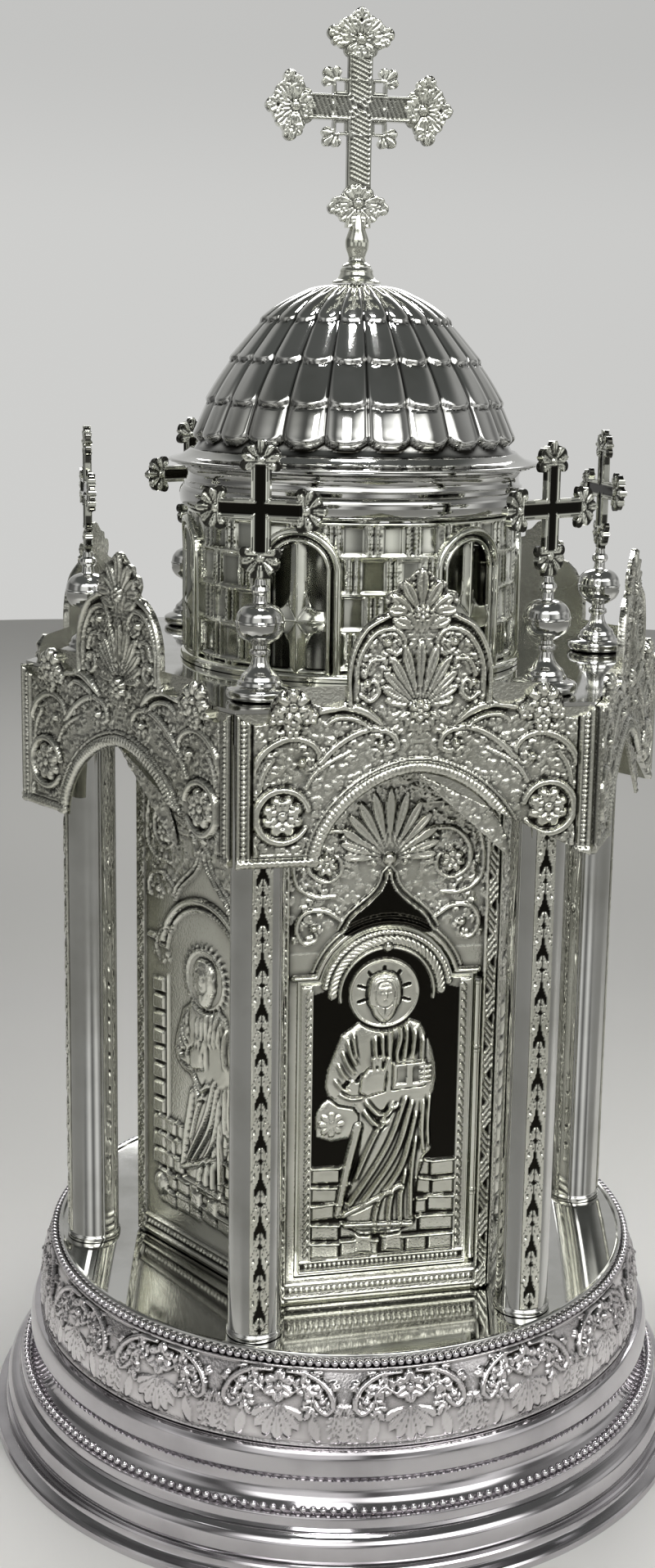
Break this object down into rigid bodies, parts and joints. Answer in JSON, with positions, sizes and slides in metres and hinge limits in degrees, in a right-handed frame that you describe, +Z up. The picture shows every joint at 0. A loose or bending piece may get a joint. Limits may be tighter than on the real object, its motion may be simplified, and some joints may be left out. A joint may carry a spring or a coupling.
{
  "type": "altar tabernacle",
  "caption": "Six-sided silver-plated altar tabernacle on a round stepped base, with arched canopies on columns, a windowed drum, a fluted dome with a cross, and a hinged door.",
  "frame": {"origin": "centre of the underside, on the surface that the tabernacle stands on", "axes": "+Z up along the axis of the base, dome and cross; the door faces -Y; +X is to the right seen from the front"},
  "size_m": [0.342, 0.342, 0.6628],
  "materials": {
    "polished_silver": "bright silver plate over brass, polished to a mirror",
    "chased_silver": "silver plate over pressed and chased brass, polished high spots with darkened hollows",
    "steel_fastener": "plain turned steel",
    "base_felt": "dark felt on a flat board"
  },
  "bodies": {
    "shrine": {"base_shell": "polished_silver", "bottom_plate": "base_felt", "frieze_band": "chased_silver", "lower_pearl_ring": "polished_silver", "upper_pearl_ring": "polished_silver", "floor_plate": "polished_silver", "canopy_deck": "polished_silver", "canopy_1": "chased_silver", "canopy_2": "chased_silver", "canopy_3": "chased_silver", "canopy_4": "chased_silver", "canopy_5": "chased_silver", "canopy_6": "chased_silver", "column_1": "polished_silver", "column_2": "polished_silver", "column_3": "polished_silver", "column_4": "polished_silver", "column_5": "polished_silver", "column_6": "polished_silver", "column_rod_1": "steel_fastener", "column_rod_2": "steel_fastener", "column_rod_3": "steel_fastener", "column_rod_4": "steel_fastener", "column_rod_5": "steel_fastener", "column_rod_6": "steel_fastener", "finial_1": "polished_silver", "finial_2": "polished_silver", "finial_3": "polished_silver", "finial_4": "polished_silver", "finial_5": "polished_silver", "finial_6": "polished_silver", "corner_cross_1": "chased_silver", "corner_cross_2": "chased_silver", "corner_cross_3": "chased_silver", "corner_cross_4": "chased_silver", "corner_cross_5": "chased_silver", "corner_cross_6": "chased_silver", "body_shell": "polished_silver", "body_floor": "polished_silver", "front_panel": "chased_silver", "side_panel_1": "chased_silver", "side_panel_2": "chased_silver", "side_panel_3": "chased_silver", "side_panel_4": "chased_silver", "side_panel_5": "chased_silver", "lower_hinge_knuckle": "polished_silver", "upper_hinge_knuckle": "polished_silver", "hinge_pin": "steel_fastener", "door_catch": "steel_fastener", "drum_shell": "polished_silver", "drum_foot_ring": "polished_silver", "drum_cornice": "polished_silver", "dome": "chased_silver", "dome_boss": "polished_silver", "main_cross": "chased_silver", "cross_nut": "steel_fastener"},
    "door": {"door_leaf": "polished_silver", "door_icon_panel": "chased_silver", "door_hinge_knuckle": "polished_silver", "catch_stud": "steel_fastener"}
  },
  "joints": [
    {"name": "door_hinge", "type": "hinge", "parent": "shrine", "child": "door", "pos_m": [0.0416, -0.0874, 0.176], "axis": [0, 0, 1], "range_deg": [0, 95]}
  ]
}
